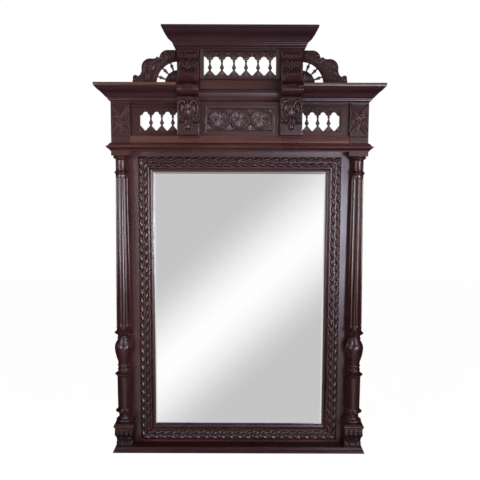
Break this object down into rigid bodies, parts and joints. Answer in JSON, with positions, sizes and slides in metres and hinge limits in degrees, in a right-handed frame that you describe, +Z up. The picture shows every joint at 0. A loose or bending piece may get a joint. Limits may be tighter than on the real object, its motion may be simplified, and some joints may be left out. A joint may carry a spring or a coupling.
{
  "type": "carved mirror",
  "caption": "Tall carved walnut overmantel mirror with fluted columns, pierced spindle galleries, scroll corbels, side fans and a stepped crown; stands on its ledge against a wall.",
  "frame": {"origin": "Centre of the bounding box in X and Y, on the plane of the shelf or floor that the ledge stands on", "axes": "X to the viewer's right, -Y towards the viewer (the carved front), Z up"},
  "size_m": [1.176, 0.17, 1.798],
  "materials": {
    "walnut": "dark red-brown stain, satin wax polish",
    "carved_walnut": "dark stain, waxed carving with worn high points",
    "turned_walnut": "dark red-brown stain, glossy on the turnings",
    "mirror": "silvered plate glass with a narrow bevel",
    "pine": "raw aged softwood",
    "iron": "dark forged iron"
  },
  "bodies": {
    "root": {"left_stile": "walnut", "right_stile": "walnut", "top_rail": "walnut", "bottom_rail": "walnut", "left_frame_moulding": "carved_walnut", "right_frame_moulding": "carved_walnut", "top_frame_moulding": "carved_walnut", "bottom_frame_moulding": "carved_walnut", "mirror_glass": "mirror", "glass_blocks": "pine", "back_boards": "pine", "back_screws": "iron", "base_ledge": "walnut", "left_bracket": "carved_walnut", "right_bracket": "carved_walnut", "left_baluster": "turned_walnut", "right_baluster": "turned_walnut", "left_fluted_shaft": "turned_walnut", "right_fluted_shaft": "turned_walnut", "left_capital": "turned_walnut", "right_capital": "turned_walnut", "string_moulding": "walnut", "left_string_return": "walnut", "right_string_return": "walnut", "string_board": "walnut", "frieze_rail": "walnut", "left_end_block": "carved_walnut", "right_end_block": "carved_walnut", "left_gallery_board": "carved_walnut", "right_gallery_board": "carved_walnut", "left_gallery_spindles": "turned_walnut", "right_gallery_spindles": "turned_walnut", "roundel_panel": "carved_walnut", "left_lower_corbel": "carved_walnut", "right_lower_corbel": "carved_walnut", "left_scroll_corbel": "carved_walnut", "right_scroll_corbel": "carved_walnut", "left_cornice": "walnut", "right_cornice": "walnut", "left_cornice_return": "walnut", "right_cornice_return": "walnut", "cornice_deck": "walnut", "attic_panel": "walnut", "upper_gallery_head": "carved_walnut", "upper_gallery_sill": "carved_walnut", "upper_gallery_left_stile": "carved_walnut", "upper_gallery_right_stile": "carved_walnut", "upper_gallery_spindles": "turned_walnut", "left_fan_board": "carved_walnut", "right_fan_board": "carved_walnut", "left_fan_spindles": "turned_walnut", "right_fan_spindles": "turned_walnut", "left_tower_side": "walnut", "right_tower_side": "walnut", "crown_moulding": "walnut", "left_crown_return": "walnut", "right_crown_return": "walnut", "crown_board": "walnut", "left_hanging_plate": "iron", "right_hanging_plate": "iron"}
  },
  "joints": []
}
